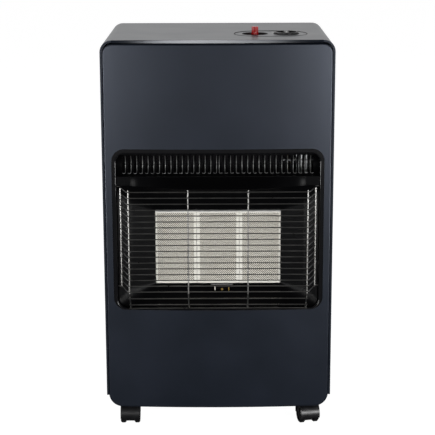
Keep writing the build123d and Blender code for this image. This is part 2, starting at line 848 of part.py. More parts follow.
# ---------------------------------------------------------------- control plate with its two wells
with BuildPart() as control_plate:
    # rim that lies under the cabinet top, round the opening
    with BuildSketch(Plane.XY.offset(plate_top)):
        with Locations((plate_centre_x, at(plate_centre_depth))):
            RectangleRounded(
                plate_width + 2 * plate_rim, plate_length + 2 * plate_rim, plate_radius + plate_rim
            )
    extrude(amount=-sheet)
    # face, pressed up into the opening until it is almost flush
    with BuildSketch(Plane.XY.offset(plate_top - sheet)):
        with Locations((plate_centre_x, at(plate_centre_depth))):
            RectangleRounded(
                plate_width - 2 * plate_groove, plate_length - 2 * plate_groove, plate_radius - plate_groove
            )
    extrude(amount=plate_rise + sheet)
    with BuildSketch(Plane.XY.offset(plate_top - sheet)):
        with Locations((plate_centre_x, at(plate_centre_depth))):
            RectangleRounded(
                plate_width - 2 * plate_groove - 2 * sheet, plate_length - 2 * plate_groove - 2 * sheet,
                plate_radius - plate_groove - sheet,
            )
    extrude(amount=plate_rise, mode=Mode.SUBTRACT)
    # wells
    with BuildSketch(Plane.XY.offset(plate_face)):
        with Locations((button_x, at(plate_centre_depth)), (knob_x, at(plate_centre_depth))):
            Circle(well_radius + sheet)
    extrude(amount=-well_depth - sheet)
    with BuildSketch(Plane.XY.offset(plate_face)):
        with Locations((button_x, at(plate_centre_depth)), (knob_x, at(plate_centre_depth))):
            Circle(well_radius)
    extrude(amount=-well_depth, mode=Mode.SUBTRACT)
    with BuildSketch(Plane.XY.offset(well_floor)):
        with Locations((button_x, at(plate_centre_depth))):
            Circle(button_radius + button_clearance)
        with Locations((knob_x, at(plate_centre_depth))):
            Circle(valve_neck_radius + seat_gap)
    extrude(amount=-2 * sheet, mode=Mode.SUBTRACT)
finish(control_plate, "control_plate")

# valve bracket: a yoke between the plate's underside and the valve block
with BuildPart() as valve_bracket:
    with BuildSketch(Plane.XY.offset(valve_top + seat_gap)):
        with Locations((knob_x, at(plate_centre_depth))):
            Rectangle(bracket_length, bracket_width)
            Circle(valve_neck_radius + seat_gap, mode=Mode.SUBTRACT)
    extrude(amount=bracket_sheet)
    with BuildSketch(Plane.XY.offset(valve_top + seat_gap)):
        with Locations((knob_x, at(plate_centre_depth))):
            with GridLocations(bracket_length - bracket_sheet, 1, 2, 1):
                Rectangle(bracket_sheet, bracket_width)
    extrude(amount=plate_underside - seat_gap - valve_top - seat_gap)
finish(valve_bracket, "valve_bracket")

# ---------------------------------------------------------------- spindle, spring and knob
neck_top = valve_top + valve_neck
with BuildPart() as valve_spindle:
    with BuildSketch(Plane.XY.offset(neck_top - spindle_socket + knob_push + travel_gap)):
        with Locations((knob_x, at(plate_centre_depth))):
            Circle(spindle_radius)
    extrude(amount=knob_top - knob_crown - neck_top + spindle_socket - knob_push - travel_gap)
finish(valve_spindle, "valve_spindle")

knob_bottom = knob_top - knob_height
with BuildPart() as spring_washer:
    with BuildSketch(Plane.XY.offset(knob_bottom - seat_gap - washer_thickness)):
        with Locations((knob_x, at(plate_centre_depth))):
            Circle(washer_radius)
            Circle(spindle_radius + running_gap, mode=Mode.SUBTRACT)
    extrude(amount=washer_thickness)
finish(spring_washer, "spring_washer")

spring_low = neck_top + seat_gap
spring_high = knob_bottom - 2 * seat_gap - washer_thickness


def coil_spring(centre_x, low, high, coil_radius, wire, turns):
    """Compression spring between two heights, with a hexagonal wire section."""
    with BuildPart() as spring:
        start = (centre_x + coil_radius, at(plate_centre_depth), low + wire)
        pitch = (high - low - 2 * wire) / turns
        with BuildLine() as path:
            Helix(pitch, high - low - 2 * wire, coil_radius,
                  center=(centre_x, at(plate_centre_depth), low + wire))
        with BuildSketch(Plane(origin=start, z_dir=path.line % 0)):
            RegularPolygon(wire, 6)
        sweep(path=path.line, is_frenet=True)
    return spring


knob_spring = coil_spring(
    knob_x, spring_low, spring_high, spring_coil_radius, spring_wire, knob_spring_turns
)
finish(knob_spring, "knob_spring")

with BuildPart() as control_knob:
    with BuildSketch(Plane.XY.offset(knob_bottom)):
        with Locations((knob_x, at(plate_centre_depth))):
            Circle(knob_radius)
    extrude(amount=knob_height)
    chamfer(control_knob.faces().sort_by(Axis.Z)[-1].edges(), knob_chamfer)
    # finger scoops, which leave a bar and a hub standing between them
    with BuildSketch(Plane.XY.offset(knob_top)):
        with Locations((knob_x, at(plate_centre_depth))):
            Circle(knob_radius - knob_rim)
            Rectangle(knob_bar_width, 2 * knob_radius, mode=Mode.SUBTRACT)
            Circle(knob_hub_radius, mode=Mode.SUBTRACT)
    extrude(amount=-knob_scoop_depth, mode=Mode.SUBTRACT)
    with BuildSketch(Plane.XY.offset(knob_bottom)):
        with Locations((knob_x, at(plate_centre_depth))):
            Circle(spindle_radius + spindle_fit)
    extrude(amount=knob_height - knob_crown + seat_gap, mode=Mode.SUBTRACT)
finish(control_knob, "control_knob")

# ---------------------------------------------------------------- piezo igniter and its button
piezo_top = plate_underside - seat_gap
piezo_flange_radius = button_radius + button_clearance + piezo_flange_width
with BuildPart() as piezo_igniter:
    with BuildSketch(Plane.XY.offset(piezo_top)):
        with Locations((button_x, at(plate_centre_depth))):
            Circle(piezo_flange_radius)
    extrude(amount=-piezo_flange)
    with BuildSketch(Plane.XY.offset(piezo_top)):
        with Locations((button_x, at(plate_centre_depth))):
            Circle(piezo_radius)
    extrude(amount=-piezo_length)
    with BuildSketch(Plane.XY.offset(piezo_top)):
        with Locations((button_x, at(plate_centre_depth))):
            Circle(button_radius + button_clearance)
    extrude(amount=-button_well, mode=Mode.SUBTRACT)
finish(piezo_igniter, "piezo_igniter")

button_bottom = piezo_top - button_well + button_push + 2 * seat_gap + igniter_spring_solid
with BuildPart() as igniter_button:
    with BuildSketch(Plane.XY.offset(button_bottom)):
        with Locations((button_x, at(plate_centre_depth))):
            Circle(button_radius)
    extrude(amount=button_top - button_bottom)
    fillet(igniter_button.faces().sort_by(Axis.Z)[-1].edges(), button_edge)
    # finger flutes round the head
    with BuildSketch(Plane.XY.offset(button_top)):
        with Locations((button_x, at(plate_centre_depth))):
            with PolarLocations(button_radius + flute_radius - flute_depth, flute_count):
                Circle(flute_radius)
    extrude(amount=-flute_length, mode=Mode.SUBTRACT)
finish(igniter_button, "igniter_button")

igniter_spring = coil_spring(
    button_x, piezo_top - button_well + seat_gap, button_bottom - seat_gap,
    button_radius - 2 * spring_wire, spring_wire, igniter_spring_turns,
)
finish(igniter_spring, "igniter_spring")

# ---------------------------------------------------------------- pilot, electrode and thermocouple
bracket_top = tile_bottom - frame_wall - 2 * seat_gap
pilot_places = (electrode_x, pilot_x, thermocouple_x)
with BuildPart() as pilot_bracket:
    with BuildSketch(Plane.YZ.offset(electrode_x - pilot_margin)):
        with BuildLine():
            Polyline(
                (at(pilot_shelf_front), pilot_shelf), (at(pilot_plate_depth + bracket_sheet), pilot_shelf),
                (at(pilot_plate_depth + bracket_sheet), bracket_top), (at(pilot_plate_depth), bracket_top),
                (at(pilot_plate_depth), pilot_shelf + bracket_sheet),
                (at(pilot_shelf_front), pilot_shelf + bracket_sheet), close=True,
            )
        make_face()
    extrude(amount=pilot_slot_width)
    with BuildSketch(Plane.XY.offset(pilot_shelf)):
        with Locations(*[(x, at(pilot_depth)) for x in pilot_places]):
            Circle(pilot_stem_radius + seat_gap)
    extrude(amount=bracket_sheet, mode=Mode.SUBTRACT)
finish(pilot_bracket, "pilot_bracket")

collar_low = pilot_shelf + bracket_sheet + seat_gap
stem_low = pilot_shelf - pilot_stem_drop


def pilot_piece(x, head_radius, head_low, top):
    """Stem through the pilot shelf, with a collar on it and a head above."""
    with BuildPart() as piece:
        for low, high, radius in (
            (stem_low, top, head_radius), (stem_low, head_low, pilot_stem_radius),
            (collar_low, collar_low + 2 * bracket_sheet, pilot_collar_radius),
        ):
            with BuildSketch(Plane.XY.offset(low)):
                with Locations((x, at(pilot_depth))):
                    Circle(radius)
            extrude(amount=high - low)
    return piece


pilot_burner = pilot_piece(
    pilot_x, pilot_head_radius, pilot_head_height - pilot_stem_drop, pilot_head_height
)
finish(pilot_burner, "pilot_burner")
spark_top = pilot_head_height + spark_tip_rise
spark_electrode = pilot_piece(electrode_x, spark_tip_radius, spark_top - spark_tip_length, spark_top)
finish(spark_electrode, "spark_electrode")

# ---------------------------------------------------------------- gas pipes and leads
pipe_end = valve_underside - seat_gap
stem_end = stem_low - seat_gap
rear_depth = plate_centre_depth
run_depth = burner_middle_depth


def pipe_column(index):
    """X of one of the upright pipes beside the burner."""
    return first_pipe_x + index * pipe_pitch


for index, (name, x) in enumerate(reversed(tile_columns.items())):
    level = shelf_height - feed_level_drop - index * pipe_level_pitch
    column = pipe_column(index)
    with BuildPart() as feed_pipe:
        tube(
            [
                (x, at(run_depth), shelf_height - injector_stem - seat_gap), (x, at(run_depth), level),
                (column, at(run_depth), level), (column, at(run_depth), pipe_turn_height),
                (column, at(rear_depth), pipe_turn_height), (column, at(rear_depth), pipe_end),
            ],
            pipe_radius, pipe_bend, pipe_side_count,
        )
    finish(feed_pipe, f"feed_pipe_{name}")

pilot_pipe_level = stem_end - pilot_pipe_drop
pilot_column = pipe_column(-1)
with BuildPart() as pilot_pipe:
    tube(
        [
            (pilot_x, at(pilot_depth), stem_end), (pilot_x, at(pilot_depth), pilot_pipe_level),
            (pilot_column, at(pilot_depth), pilot_pipe_level),
            (pilot_column, at(run_depth), pilot_pipe_level),
            (pilot_column, at(run_depth), pipe_turn_height), (pilot_column, at(rear_depth), pipe_turn_height),
            (pilot_column, at(rear_depth), pipe_end),
        ],
        pilot_pipe_radius, pipe_bend, pipe_side_count,
    )
finish(pilot_pipe, "pilot_pipe")

thermocouple_level = stem_end - thermocouple_drop
probe_column = pipe_column(-2)
with BuildPart() as thermocouple:
    tube(
        [
            (thermocouple_x, at(pilot_depth), stem_low + probe_rise),
            (thermocouple_x, at(pilot_depth), thermocouple_level),
            (probe_column, at(pilot_depth), thermocouple_level),
            (probe_column, at(run_depth), thermocouple_level),
            (probe_column, at(run_depth), pipe_turn_height), (probe_column, at(rear_depth), pipe_turn_height),
            (probe_column, at(rear_depth), pipe_end),
        ],
        thermocouple_radius, pipe_bend, wire_side_count,
    )
    add(pilot_piece(thermocouple_x, probe_radius, collar_low, pilot_head_height + probe_rise).part)
finish(thermocouple, "thermocouple")

lead_level = stem_end - lead_drop
lead_column = pipe_column(3)
lead_depth = pilot_depth + lead_setback
piezo_bottom = plate_underside - seat_gap - piezo_length
with BuildPart() as ignition_lead:
    tube(
        [
            (electrode_x, at(pilot_depth), stem_end), (electrode_x, at(pilot_depth), lead_level),
            (electrode_x, at(lead_depth), lead_level), (lead_column, at(lead_depth), lead_level),
            (lead_column, at(run_depth), lead_level), (lead_column, at(run_depth), lead_turn_height),
            (button_x, at(run_depth), lead_turn_height), (button_x, at(rear_depth), lead_turn_height),
            (button_x, at(rear_depth), piezo_bottom - seat_gap),
        ],
        lead_radius, lead_bend, wire_side_count,
    )
finish(ignition_lead, "ignition_lead")

# combs on the heat shield that hold the upright pipes and leads
comb_left = probe_column - pipe_pitch
comb_right = lead_column + pipe_pitch
comb_front_depth = run_depth - pipe_pitch
comb_back_depth = shield_depth - seat_gap
with BuildPart() as pipe_combs:
    for height in comb_heights:
        with BuildSketch(Plane.XY.offset(height)):
            with Locations(((comb_left + comb_right) / 2, at((comb_front_depth + comb_back_depth) / 2))):
                Rectangle(comb_right - comb_left, comb_back_depth - comb_front_depth)
            for index, radius in (
                (-2, thermocouple_radius), (-1, pilot_pipe_radius), (0, pipe_radius),
                (1, pipe_radius), (2, pipe_radius), (3, lead_radius),
            ):
                with Locations((pipe_column(index), at(run_depth))):
                    Circle(radius + seat_gap, mode=Mode.SUBTRACT)
        extrude(amount=bracket_sheet)
finish(pipe_combs, "pipe_combs")

# ---------------------------------------------------------------- casters
caster_places = {
    "front_left": (-caster_x, front_caster_depth, 0.0),
    "front_right": (caster_x, front_caster_depth, front_right_swivel),
    "rear_left": (-caster_x, rear_caster_depth, 0.0),
    "rear_right": (caster_x, rear_caster_depth, 0.0),
}
socket_top = base_floor - seat_gap
stem_top = socket_top - socket_sheet
fender_radius = wheel_radius + fender_gap
caster_half = caster_width / 2

for name, (x, depth, swivel) in caster_places.items():
    across = Vector(cos(radians(swivel)), sin(radians(swivel)), 0)
    along = Vector(-sin(radians(swivel)), cos(radians(swivel)), 0)
    axle = Vector(x, at(depth), wheel_radius) - along * caster_trail
    side = Plane(origin=axle, x_dir=along, z_dir=across)
    swivel_axis = Plane(origin=(x, at(depth), 0), x_dir=across, z_dir=(0, 0, 1))

    with BuildPart() as caster_socket:
        with BuildSketch(Plane.XY.offset(stem_top)):
            with Locations((x, at(depth))):
                RectangleRounded(socket_plate, socket_plate, base_corner_radius)
        extrude(amount=socket_sheet)
        with BuildSketch(swivel_axis.offset(neck_height + seat_gap)):
            Circle(neck_radius)
            Circle(stem_radius + running_gap, mode=Mode.SUBTRACT)
        extrude(amount=stem_top - neck_height - seat_gap)
    finish(caster_socket, f"caster_socket_{name}")

    with BuildPart() as caster_hood:
        with BuildSketch(side):
            Circle(web_radius)
        extrude(amount=web_half_width, both=True)
        # fender over both wheels
        with BuildSketch(side):
            Circle(fender_radius + fender_wall)
            Circle(fender_radius, mode=Mode.SUBTRACT)
            with Locations((0, fender_low - wheel_radius - fender_radius)):
                Rectangle(4 * fender_radius, 2 * fender_radius, mode=Mode.SUBTRACT)
        extrude(amount=caster_half, both=True)
        # web between the wheels, up to the fender
        with BuildSketch(side):
            Circle(fender_radius + fender_wall / 2)
            with Locations((0, fender_low - wheel_radius - fender_radius)):
                Rectangle(4 * fender_radius, 2 * fender_radius, mode=Mode.SUBTRACT)
        extrude(amount=web_half_width, both=True)
        with BuildSketch(swivel_axis.offset(wheel_radius)):
            Circle(neck_radius)
        extrude(amount=neck_height - wheel_radius)
        with BuildSketch(swivel_axis.offset(neck_height)):
            Circle(stem_radius)
        extrude(amount=stem_top - neck_height - seat_gap)
        # clear the wheels' space, then the axle bore
        with BuildSketch(side.offset(web_half_width), side.offset(-caster_half)):
            Circle(fender_radius)
        extrude(amount=caster_half - web_half_width, mode=Mode.SUBTRACT)
        with BuildSketch(side):
            Circle(axle_radius + running_gap)
        extrude(amount=caster_half, both=True, mode=Mode.SUBTRACT)
    finish(caster_hood, f"caster_hood_{name}")

    with BuildPart() as caster_axle:
        with BuildSketch(side):
            Circle(axle_radius)
        extrude(amount=caster_half - wheel_dish, both=True)
    finish(caster_axle, f"caster_axle_{name}")

    with BuildPart() as caster_wheels:
        with BuildSketch(side.offset(caster_half - wheel_width), side.offset(-caster_half)):
            Circle(wheel_radius)
            Circle(axle_radius + spindle_fit, mode=Mode.SUBTRACT)
        extrude(amount=wheel_width)
        tread_edges = caster_wheels.edges().filter_by(GeomType.CIRCLE).group_by(SortBy.RADIUS)[-1]
        chamfer(tread_edges, wheel_edge)
        # dished outer faces
        with BuildSketch(side.offset(caster_half - wheel_dish), side.offset(-caster_half)):
            Circle(wheel_radius - 2 * wheel_edge)
            Circle(wheel_hub_radius, mode=Mode.SUBTRACT)
        extrude(amount=wheel_dish, mode=Mode.SUBTRACT)
    finish(caster_wheels, f"caster_wheels_{name}")
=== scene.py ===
"""Looks of the gas cabinet heater: powder coat, enamel, welded wire, ceramic plaques and moulded plastics.

Every sub-assembly is a class that dresses its own CAD nodes and adds the small pieces they carry. Lengths in
the sub-assemblies and finishes are millimetres, and mesh() turns them to metres. The studio's are metres,
apart from the camera's place.
"""

import logging
import math
from dataclasses import dataclass
from enum import Enum
from typing import Callable, Sequence

import bmesh
import bpy
from mathutils import Matrix, Vector


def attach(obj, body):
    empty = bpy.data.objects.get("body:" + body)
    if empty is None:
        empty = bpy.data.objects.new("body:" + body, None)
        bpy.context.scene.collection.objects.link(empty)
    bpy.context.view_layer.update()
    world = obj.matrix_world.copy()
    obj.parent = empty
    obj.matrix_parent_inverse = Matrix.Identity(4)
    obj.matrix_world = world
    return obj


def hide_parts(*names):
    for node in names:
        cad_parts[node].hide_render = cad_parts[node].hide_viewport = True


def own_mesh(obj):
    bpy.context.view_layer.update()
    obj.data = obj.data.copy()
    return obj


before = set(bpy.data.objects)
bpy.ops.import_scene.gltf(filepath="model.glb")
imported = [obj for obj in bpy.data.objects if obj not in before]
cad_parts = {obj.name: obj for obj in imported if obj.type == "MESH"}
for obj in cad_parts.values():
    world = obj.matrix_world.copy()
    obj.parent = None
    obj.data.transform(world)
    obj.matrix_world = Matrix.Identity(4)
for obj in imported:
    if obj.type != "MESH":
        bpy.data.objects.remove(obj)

LOG = logging.getLogger("heater")
MM = 0.001
Colour = tuple[float, float, float, float]


# ---------------------------------------------------------------- small helpers
def linear(hex_colour: str) -> Colour:
    """Turns an sRGB hex colour to the linear values that shaders take.

    Args:
        hex_colour: six hex digits after a #.

    Returns:
        Linear red, green, blue and an alpha of 1.
    """
    parts = [int(hex_colour[i : i + 2], 16) / 255 for i in (1, 3, 5)]
    red, green, blue = (p / 12.92 if p <= 0.04045 else ((p + 0.055) / 1.055) ** 2.4 for p in parts)
    return (red, green, blue, 1.0)


def add_node(
    tree: bpy.types.NodeTree,
    kind: str,
    settings: dict | None = None,
    links: dict | None = None,
    stops: Sequence[tuple[float, Colour]] = (),
) -> bpy.types.Node:
    """Adds a shader node with its settings and its incoming links.

    Args:
        tree: the node tree that gets the node.
        kind: Blender's node type.
        settings: attribute name, input name or input index to its value.
        links: input name or index to the socket that feeds it.
        stops: positions and colours of a colour ramp.

    Returns:
        The new node.
    """
    node = tree.nodes.new(kind)
    for key, value in (settings or {}).items():
        if isinstance(key, str) and hasattr(node, key):
            setattr(node, key, value)
        else:
            node.inputs[key].default_value = value
    for key, source in (links or {}).items():
        tree.links.new(source, node.inputs[key])
    for index, (position, colour) in enumerate(stops):
        elements = node.color_ramp.elements
        element = elements[index] if index < len(elements) else elements.new(position)
        element.position = position
        element.color = colour
    return node


def start_material(name: str) -> tuple[bpy.types.Material, bpy.types.NodeTree, bpy.types.Node]:
    """Starts a material with one Principled shader.

    Args:
        name: the material's name.

    Returns:
        The material, its node tree and its shader node.
    """
    material = bpy.data.materials.new(name)
    material.use_nodes = True
    tree = material.node_tree
    tree.nodes.clear()
    shader = add_node(tree, "ShaderNodeBsdfPrincipled")
    add_node(tree, "ShaderNodeOutputMaterial", links={"Surface": shader.outputs["BSDF"]})
    return material, tree, shader


def per_metre(millimetres: float) -> float:
    """Noise scale, in cycles a metre, for a feature of a real size in millimetres."""
    return 1.0 / (millimetres * MM)


def mesh(name: str, body: str, finish: bpy.types.Material, build: Callable) -> bpy.types.Object:
    """Makes one piece of bmesh work, in millimetres, that rides on a CAD body.

    Args:
        name: the piece's name.
        body: the CAD body it rides on.
        finish: its material.
        build: a function that fills the bmesh.

    Returns:
        The new object, at the origin, with its place in its mesh.
    """
    work = bmesh.new()
    build(work)
    bmesh.ops.scale(work, vec=(MM, MM, MM), verts=work.verts)
    data = bpy.data.meshes.new(name)
    work.to_mesh(data)
    work.free()
    piece = bpy.data.objects.new(name, data)
    bpy.context.scene.collection.objects.link(piece)
    data.materials.append(finish)
    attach(piece, body)
    LOG.info("made %s: %d faces", name, len(data.polygons))
    return piece


def dress(finish: bpy.types.Material, *nodes: str) -> None:
    """Gives CAD nodes their finish.

    Args:
        finish: the material.
        nodes: names of the CAD nodes that take it.
    """
    for name in nodes:
        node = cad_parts[name]
        if not node.material_slots:
            node.data.materials.append(finish)
        for place in node.material_slots:
            place.material = finish
        LOG.info("dressed %s in %s", name, finish.name)


def bead(work: bmesh.types.BMesh, path: Sequence[Vector], radius: float, sides: int = 6) -> None:
    """Adds a round bead with closed ends along a path.

    Args:
        work: the bmesh, in millimetres.
        path: points along the bead's middle.
        radius: half the bead's thickness.
        sides: faces round the bead.
    """
    rings = []
    for index, place in enumerate(path):
        ahead = path[min(index + 1, len(path) - 1)] - path[max(index - 1, 0)]
        turn = turned_to(ahead.normalized())
        ring = []
        for side in range(sides):
            angle = 2 * math.pi * side / sides
            out = turn @ Vector((radius * math.cos(angle), radius * math.sin(angle), 0.0))
            ring.append(work.verts.new(place + out))
        rings.append(ring)
    for near, far in zip(rings, rings[1:]):
        for side in range(sides):
            after = (side + 1) % sides
            work.faces.new((near[side], near[after], far[after], far[side]))
    work.faces.new(rings[0][::-1])
    work.faces.new(rings[-1])


def turned_to(direction: Vector) -> Matrix:
    """Rotation that takes +Z to a direction."""
    return direction.to_track_quat("Z", "Y").to_matrix().to_4x4()


def on_circle(x: float, y: float, z: float, radius: float, turn: float) -> Vector:
    """Point on a level circle about x and y, at a turn in radians from +X."""
    return Vector((x + radius * math.cos(turn), y + radius * math.sin(turn), z))


def direct_ray(tree: bpy.types.NodeTree, path: bpy.types.Node) -> bpy.types.NodeSocket:
    """Share that is 1 for what the camera sees straight or through glass.

    Args:
        tree: the node tree.
        path: its Light Path node.

    Returns:
        The socket of the share.
    """
    direct = add_node(
        tree,
        "ShaderNodeMath",
        {"operation": "MAXIMUM"},
        {0: path.outputs["Is Camera Ray"], 1: path.outputs["Is Transmission Ray"]},
    )
    return direct.outputs[0]


# ---------------------------------------------------------------- finishes
@dataclass(frozen=True)
class PowderCoat:
    """Polyester powder baked on steel: satin, with fine orange peel, so highlights are wide and soft."""

    name: str = "powder_coat_graphite_navy"
    colour: str = "#12161e"
    shade: str = "#0d1117"
    roughness: float = 0.31
    specular: float = 0.42
    highlight: str = "#e2eafc"
    peel: float = 2.4
    cloud: float = 90.0
    peel_height: float = 0.05
    peel_strength: float = 0.35
    peel_in_tone: float = 0.35
    tone_range: tuple[float, float] = (0.35, 0.95)
    gloss_spread: float = 0.04

    def material(self) -> bpy.types.Material:
        """Builds the material: cloudy tone, peel in the bump and a little change in the gloss.

        Returns:
            The new material.
        """
        material, tree, shader = start_material(self.name)
        place = add_node(tree, "ShaderNodeTexCoord").outputs["Object"]
        cloud = add_node(
            tree, "ShaderNodeTexNoise", {"Scale": per_metre(self.cloud), "Detail": 3.0}, {"Vector": place}
        )
        peel = add_node(
            tree, "ShaderNodeTexNoise", {"Scale": per_metre(self.peel), "Detail": 2.0}, {"Vector": place}
        )
        blend = add_node(
            tree,
            "ShaderNodeMath",
            {"operation": "MULTIPLY_ADD", 1: self.peel_in_tone},
            {0: peel.outputs["Fac"], 2: cloud.outputs["Fac"]},
        )
        tone = add_node(
            tree,
            "ShaderNodeValToRGB",
            links={"Fac": blend.outputs[0]},
            stops=list(zip(self.tone_range, (linear(self.shade), linear(self.colour)))),
        )
        gloss = add_node(
            tree,
            "ShaderNodeMapRange",
            {"To Min": self.roughness - self.gloss_spread, "To Max": self.roughness + self.gloss_spread},
            {"Value": cloud.outputs["Fac"]},
        )
        bump = add_node(
            tree,
            "ShaderNodeBump",
            {"Strength": self.peel_strength, "Distance": self.peel_height * MM},
            {"Height": peel.outputs["Fac"]},
        )
        shader.inputs["Specular IOR Level"].default_value = self.specular
        shader.inputs["Specular Tint"].default_value = linear(self.highlight)
        tree.links.new(tone.outputs["Color"], shader.inputs["Base Color"])
        tree.links.new(gloss.outputs["Result"], shader.inputs["Roughness"])
        tree.links.new(bump.outputs["Normal"], shader.inputs["Normal"])
        return material


@dataclass(frozen=True)
class VitreousEnamel:
    """Glass enamel fired on pressed steel: deep gloss black whose reflections waver slightly."""

    name: str = "vitreous_enamel_black"
    colour: str = "#08080a"
    roughness: float = 0.10
    specular: float = 0.34
    waver: float = 14.0
    waver_height: float = 0.05
    waver_strength: float = 0.4
    glossier: float = 0.03
    duller: float = 0.05

    def material(self) -> bpy.types.Material:
        """Builds the material: near-black glass with a long, shallow waver in the bump.

        Returns:
            The new material.
        """
        material, tree, shader = start_material(self.name)
        place = add_node(tree, "ShaderNodeTexCoord").outputs["Object"]
        waver = add_node(
            tree, "ShaderNodeTexNoise", {"Scale": per_metre(self.waver), "Detail": 2.0}, {"Vector": place}
        )
        gloss = add_node(
            tree,
            "ShaderNodeMapRange",
            {"To Min": self.roughness - self.glossier, "To Max": self.roughness + self.duller},
            {"Value": waver.outputs["Fac"]},
        )
        bump = add_node(
            tree,
            "ShaderNodeBump",
            {"Strength": self.waver_strength, "Distance": self.waver_height * MM},
            {"Height": waver.outputs["Fac"]},
        )
        shader.inputs["Base Color"].default_value = linear(self.colour)
        shader.inputs["Specular IOR Level"].default_value = self.specular
        tree.links.new(gloss.outputs["Result"], shader.inputs["Roughness"])
        tree.links.new(bump.outputs["Normal"], shader.inputs["Normal"])
        return material


class MetalWork(Enum):
    """How a bare metal's surface was made: stretch of its grain along X, Y and Z."""

    ROLLED = (1.0, 1.0, 0.04)
    CAST = (1.0, 1.0, 1.0)
    MACHINED = (0.2, 0.2, 3.0)
    DRAWN = (1.0, 1.0, 0.1)
    PLATED = (0.6, 0.6, 0.6)


@dataclass(frozen=True)
class BareMetal:
    """Uncoated or plated metal: its grain follows how it was worked and shows in tone and gloss."""

    name: str
    colour: str
    shade: str
    roughness: float
    work: MetalWork
    grain: float
    grain_height: float = 0.03
    grain_strength: float = 0.2
    tone_range: tuple[float, float] = (0.3, 0.7)
    gloss_spread: float = 0.08
    smoothest: float = 0.05

    def material(self) -> bpy.types.Material:
        """Builds the material: grain stretched the way the metal was worked.

        Returns:
            The new material.
        """
        material, tree, shader = start_material(self.name)
        place = add_node(tree, "ShaderNodeTexCoord").outputs["Object"]
        stretched = add_node(tree, "ShaderNodeMapping", {"Scale": self.work.value}, {"Vector": place})
        grain = add_node(
            tree,
            "ShaderNodeTexNoise",
            {"Scale": per_metre(self.grain), "Detail": 4.0},
            {"Vector": stretched.outputs["Vector"]},
        )
        tone = add_node(
            tree,
            "ShaderNodeValToRGB",
            links={"Fac": grain.outputs["Fac"]},
            stops=list(zip(self.tone_range, (linear(self.shade), linear(self.colour)))),
        )
        gloss = add_node(
            tree,
            "ShaderNodeMapRange",
            {
                "To Min": max(self.roughness - self.gloss_spread, self.smoothest),
                "To Max": self.roughness + self.gloss_spread,
            },
            {"Value": grain.outputs["Fac"]},
        )
        bump = add_node(
            tree,
            "ShaderNodeBump",
            {"Strength": self.grain_strength, "Distance": self.grain_height * MM},
            {"Height": grain.outputs["Fac"]},
        )
        shader.inputs["Metallic"].default_value = 1.0
        tree.links.new(tone.outputs["Color"], shader.inputs["Base Color"])
        tree.links.new(gloss.outputs["Result"], shader.inputs["Roughness"])
        tree.links.new(bump.outputs["Normal"], shader.inputs["Normal"])
        return material


